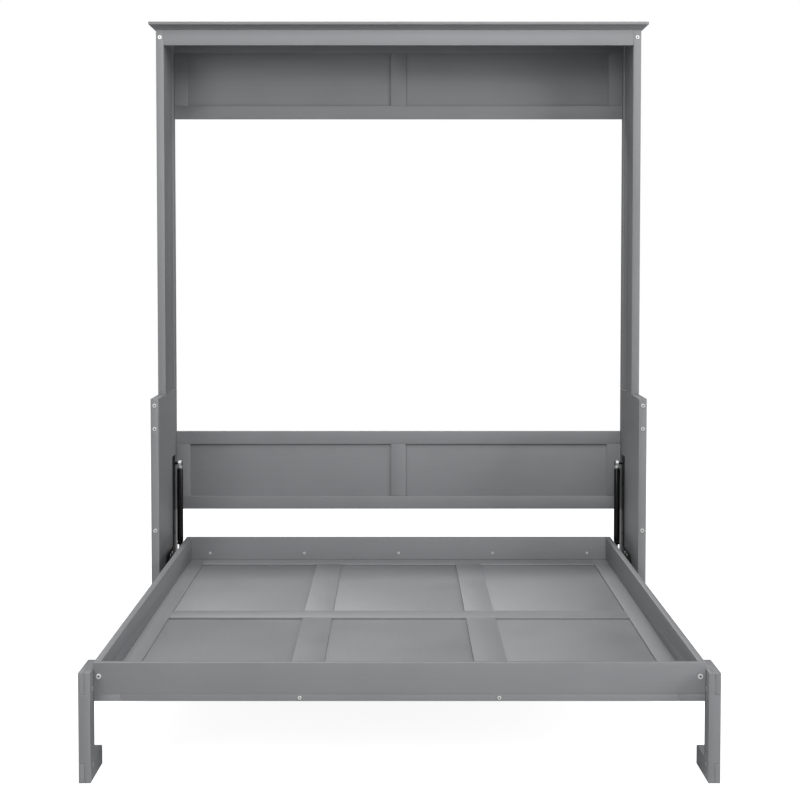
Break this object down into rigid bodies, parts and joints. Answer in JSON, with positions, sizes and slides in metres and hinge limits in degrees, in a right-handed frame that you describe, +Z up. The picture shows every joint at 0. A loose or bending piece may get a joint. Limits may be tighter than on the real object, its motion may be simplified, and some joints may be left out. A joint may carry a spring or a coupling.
{
  "type": "murphy wall bed",
  "caption": "Queen-size murphy wall bed, let down: open grey cabinet, panelled tray bed on pivot pins, gas springs, plumb-hanging C-shaped legs.",
  "frame": {"origin": "on the floor, in the middle of the outline of the bed let down", "axes": "+Z up, +Y towards the wall, -Y towards the foot of the bed, +X to the right of someone facing the wall"},
  "size_m": [1.765, 2.222, 2.1653],
  "materials": {
    "grey_board": "satin grey paint on smooth board",
    "black_steel": "semi-gloss black powder coat",
    "chrome": "polished",
    "zinc": "bright zinc plate"
  },
  "bodies": {
    "cabinet": {"header_board": "grey_board", "top_board": "grey_board", "crown_front": "grey_board", "crown_left": "grey_board", "crown_right": "grey_board", "upper_back_top_rail": "grey_board", "upper_back_bottom_rail": "grey_board", "upper_back_end_stile_left": "grey_board", "upper_back_end_stile_right": "grey_board", "upper_back_centre_stile": "grey_board", "upper_back_infill": "grey_board", "lower_back_top_rail": "grey_board", "lower_back_bottom_rail": "grey_board", "lower_back_end_stile_left": "grey_board", "lower_back_end_stile_right": "grey_board", "lower_back_centre_stile": "grey_board", "lower_back_infill": "grey_board", "lower_side_panel_left": "grey_board", "lower_side_panel_right": "grey_board", "lower_side_edging_left": "grey_board", "lower_side_edging_right": "grey_board", "upper_side_front_board_left": "grey_board", "upper_side_front_board_right": "grey_board", "upper_side_rear_board_left": "grey_board", "upper_side_rear_board_right": "grey_board", "base_plate_left": "black_steel", "base_plate_right": "black_steel"},
    "bed": {"bed_head_rail": "grey_board", "bed_foot_rail": "grey_board", "bed_side_rail_left": "grey_board", "bed_side_rail_right": "grey_board", "platform_outer_stile_left": "grey_board", "platform_outer_stile_right": "grey_board", "platform_head_rail": "grey_board", "platform_middle_rail": "grey_board", "platform_foot_rail": "grey_board", "platform_inner_stile_left_head": "grey_board", "platform_inner_stile_left_foot": "grey_board", "platform_inner_stile_right_head": "grey_board", "platform_inner_stile_right_foot": "grey_board", "platform_panel_left_head": "grey_board", "platform_panel_left_foot": "grey_board", "platform_panel_middle_head": "grey_board", "platform_panel_middle_foot": "grey_board", "platform_panel_right_head": "grey_board", "platform_panel_right_foot": "grey_board", "bed_bracket_left": "black_steel", "bed_bracket_right": "black_steel", "leg_bolt_left": "zinc", "leg_bolt_right": "zinc"},
    "leg_left": {"leg_post_left": "grey_board", "leg_arm_left": "grey_board", "leg_foot_left": "grey_board"},
    "leg_right": {"leg_post_right": "grey_board", "leg_arm_right": "grey_board", "leg_foot_right": "grey_board"},
    "spring_cylinder_left": {"gas_cylinder_left": "black_steel"},
    "spring_cylinder_right": {"gas_cylinder_right": "black_steel"},
    "spring_rod_left": {"gas_rod_left": "chrome"},
    "spring_rod_right": {"gas_rod_right": "chrome"}
  },
  "joints": [
    {"name": "bed_fold", "type": "hinge", "parent": "cabinet", "child": "bed", "pos_m": [0, 0.8, 0.216], "axis": [-1, 0, 0], "range_deg": [0, 90]},
    {"name": "leg_swing_left", "type": "hinge", "parent": "bed", "child": "leg_left", "pos_m": [-0.8005, -0.999, 0.256], "axis": [1, 0, 0], "range_deg": [0, 90.1]},
    {"name": "leg_swing_right", "type": "hinge", "parent": "bed", "child": "leg_right", "pos_m": [0.8005, -0.999, 0.256], "axis": [1, 0, 0], "range_deg": [0, 90.1]},
    {"name": "cylinder_swing_left", "type": "hinge", "parent": "cabinet", "child": "spring_cylinder_left", "pos_m": [-0.808, 0.998, 0.575], "axis": [-1, 0, 0], "range_deg": [0, 20.6]},
    {"name": "cylinder_swing_right", "type": "hinge", "parent": "cabinet", "child": "spring_cylinder_right", "pos_m": [0.808, 0.998, 0.575], "axis": [-1, 0, 0], "range_deg": [0, 20.6]},
    {"name": "rod_slide_left", "type": "slide", "parent": "spring_cylinder_left", "child": "spring_rod_left", "axis": [0, 0, -1], "range_m": [0, 0.226]},
    {"name": "rod_slide_right", "type": "slide", "parent": "spring_cylinder_right", "child": "spring_rod_right", "axis": [0, 0, -1], "range_m": [0, 0.226]}
  ],
  "couplings": [
    {"joint": "leg_swing_left", "follows": "bed_fold", "ratio": 1},
    {"joint": "leg_swing_right", "follows": "bed_fold", "ratio": 1},
    {"joint": "cylinder_swing_left", "follows": "bed_fold", "ratio": 0.22753},
    {"joint": "cylinder_swing_right", "follows": "bed_fold", "ratio": 0.22753},
    {"joint": "rod_slide_left", "follows": "bed_fold", "m_per_rad": 0.1436},
    {"joint": "rod_slide_right", "follows": "bed_fold", "m_per_rad": 0.1436}
  ]
}
